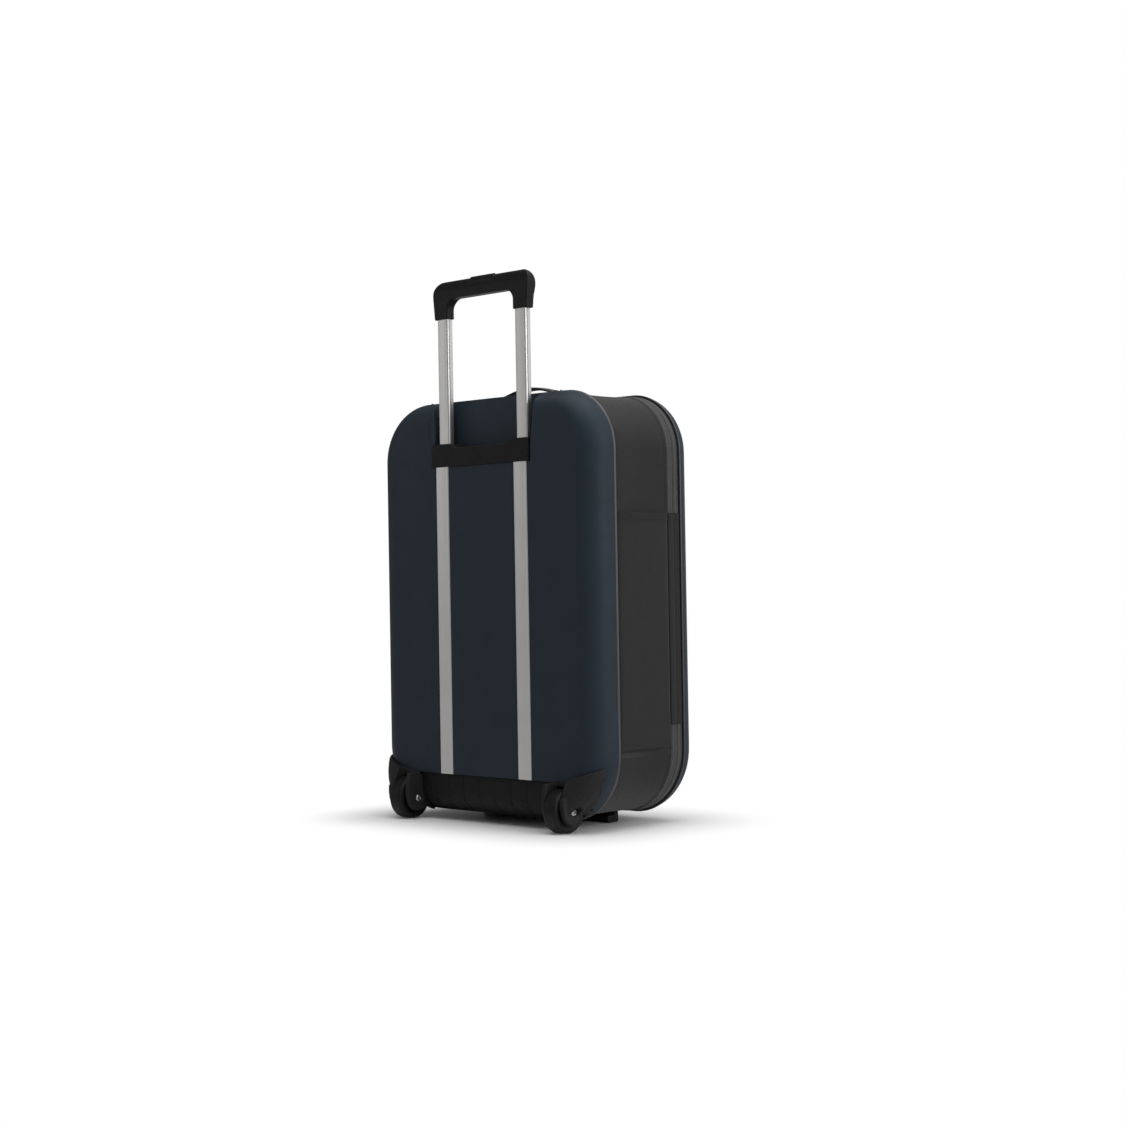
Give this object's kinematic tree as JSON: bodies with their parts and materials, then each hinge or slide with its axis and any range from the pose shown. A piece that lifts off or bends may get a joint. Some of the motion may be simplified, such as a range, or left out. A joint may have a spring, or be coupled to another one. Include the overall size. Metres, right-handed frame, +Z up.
{
  "type": "wheeled cabin suitcase",
  "caption": "Upright cabin suitcase with hard front and back shells, a folding fabric middle, telescopic trolley handle, corner wheels, top carry handle and a zipped lid.",
  "frame": {"origin": "on the floor, under the middle of the bounding box, with the case standing upright on its wheels and foot", "axes": "+Z up, -Y towards the back with the trolley tubes and wheels, +Y towards the lid, +X towards the lid's fabric hinge"},
  "size_m": [0.4057, 0.2304, 0.7115],
  "materials": {
    "shell_abs": "thermoformed ABS shell, fine matt grain, dark navy",
    "edge_piping": "soft PVC piping, satin, dark grey",
    "gusset_fabric": "dense plain-weave polyester, charcoal",
    "zip_tape": "woven zip tape with a moulded coil, mid grey",
    "lining_fabric": "light polyester lining, slate grey",
    "webbing": "woven nylon webbing, black",
    "moulded_black": "injection-moulded nylon, fine spark texture, black",
    "grip_black": "soft-touch moulded grip, black",
    "wheel_rubber": "moulded polyurethane tread, matt black",
    "hub_plastic": "moulded wheel centre, black",
    "screw_steel": "bright zinc-plated steel",
    "anodised_tube": "brushed and anodised aluminium extrusion, silver",
    "zinc_alloy": "die-cast zinc alloy, dark nickel plated"
  },
  "bodies": {
    "case_back": {"back_shell": "shell_abs", "back_piping": "edge_piping", "gusset": "gusset_fabric", "side_pocket": "gusset_fabric", "back_lining": "lining_fabric", "packing_strap_upper": "webbing", "packing_strap_lower": "webbing", "strap_buckle_upper": "moulded_black", "strap_buckle_lower": "moulded_black", "base_plate": "moulded_black", "tube_bracket": "moulded_black", "wheel_housing_left": "moulded_black", "axle_left": "screw_steel", "axle_screw_outer_left": "screw_steel", "axle_screw_inner_left": "screw_steel", "rail_left": "anodised_tube", "tube_bush_left": "moulded_black", "wheel_housing_right": "moulded_black", "axle_right": "screw_steel", "axle_screw_outer_right": "screw_steel", "axle_screw_inner_right": "screw_steel", "rail_right": "anodised_tube", "tube_bush_right": "moulded_black"},
    "wheel_left": {"tyre_left": "wheel_rubber", "wheel_hub_left": "hub_plastic", "bearing_outer_left": "screw_steel", "bearing_inner_left": "screw_steel"},
    "wheel_right": {"tyre_right": "wheel_rubber", "wheel_hub_right": "hub_plastic", "bearing_outer_right": "screw_steel", "bearing_inner_right": "screw_steel"},
    "trolley": {"grip": "grip_black", "inner_tube_left": "anodised_tube", "tube_end_left": "moulded_black", "return_spring_left": "screw_steel", "inner_tube_right": "anodised_tube", "tube_end_right": "moulded_black", "return_spring_right": "screw_steel"},
    "release": {"release_button": "grip_black", "push_rod_left": "screw_steel", "push_rod_right": "screw_steel"},
    "lock_pins": {"lock_pin_left": "screw_steel", "lock_pin_right": "screw_steel"},
    "front_frame": {"front_hoop": "moulded_black", "zip_tape_rear": "zip_tape", "hinge_fabric_rear": "gusset_fabric", "foot_bar": "moulded_black"},
    "carry_handle": {"top_handle": "webbing"},
    "lid": {"front_shell": "shell_abs", "front_piping": "edge_piping", "zip_tape_front": "zip_tape", "hinge_fabric_front": "gusset_fabric", "divider_panel": "lining_fabric"},
    "slider_upper": {"zip_slider_upper": "zinc_alloy"},
    "slider_lower": {"zip_slider_lower": "zinc_alloy"},
    "tab_upper": {"pull_tab_upper": "zinc_alloy"},
    "tab_lower": {"pull_tab_lower": "zinc_alloy"}
  },
  "joints": [
    {"name": "wheel_left_spin", "type": "hinge", "parent": "case_back", "child": "wheel_left", "pos_m": [-0.1425, -0.08775, 0.0275], "axis": [1, 0, 0], "continuous": true},
    {"name": "wheel_right_spin", "type": "hinge", "parent": "case_back", "child": "wheel_right", "pos_m": [0.1425, -0.08775, 0.0275], "axis": [1, 0, 0], "continuous": true},
    {"name": "trolley_slide", "type": "slide", "parent": "case_back", "child": "trolley", "axis": [0, 0, 1], "range_m": [-0.162, 0.2]},
    {"name": "button_press", "type": "slide", "parent": "trolley", "child": "release", "axis": [0, 0, -1], "range_m": [0, 0.004], "stiffness_N_per_m": 600, "springref_m": -0.004, "deforming": ["return_spring_left", "return_spring_right"]},
    {"name": "pin_retract", "type": "slide", "parent": "trolley", "child": "lock_pins", "axis": [0, -1, 0], "range_m": [0, 0.0024]},
    {"name": "case_collapse", "type": "slide", "parent": "case_back", "child": "front_frame", "axis": [0, -1, 0], "range_m": [0, 0.074], "deforming": ["gusset", "side_pocket"]},
    {"name": "handle_shift", "type": "slide", "parent": "case_back", "child": "carry_handle", "axis": [0, -1, 0], "range_m": [0, 0.0461]},
    {"name": "lid_open", "type": "hinge", "parent": "front_frame", "child": "lid", "pos_m": [0.1996, 0.06575, 0.262], "axis": [0, 0, -1], "range_deg": [0, 105]},
    {"name": "slider_upper_run", "type": "slide", "parent": "front_frame", "child": "slider_upper", "axis": [0, 0, 1], "range_m": [0, 0.15]},
    {"name": "slider_lower_run", "type": "slide", "parent": "front_frame", "child": "slider_lower", "axis": [0, 0, -1], "range_m": [0, 0.1]},
    {"name": "tab_upper_flip", "type": "hinge", "parent": "slider_upper", "child": "tab_upper", "pos_m": [-0.2033, 0.06575, 0.2623], "axis": [0, 1, 0], "range_deg": [0, 170]},
    {"name": "tab_lower_flip", "type": "hinge", "parent": "slider_lower", "child": "tab_lower", "pos_m": [-0.2033, 0.06575, 0.2397], "axis": [0, 1, 0], "range_deg": [0, 135]}
  ],
  "couplings": [
    {"joint": "pin_retract", "follows": "button_press", "ratio": 0.6},
    {"joint": "handle_shift", "follows": "case_collapse", "ratio": 0.622}
  ]
}
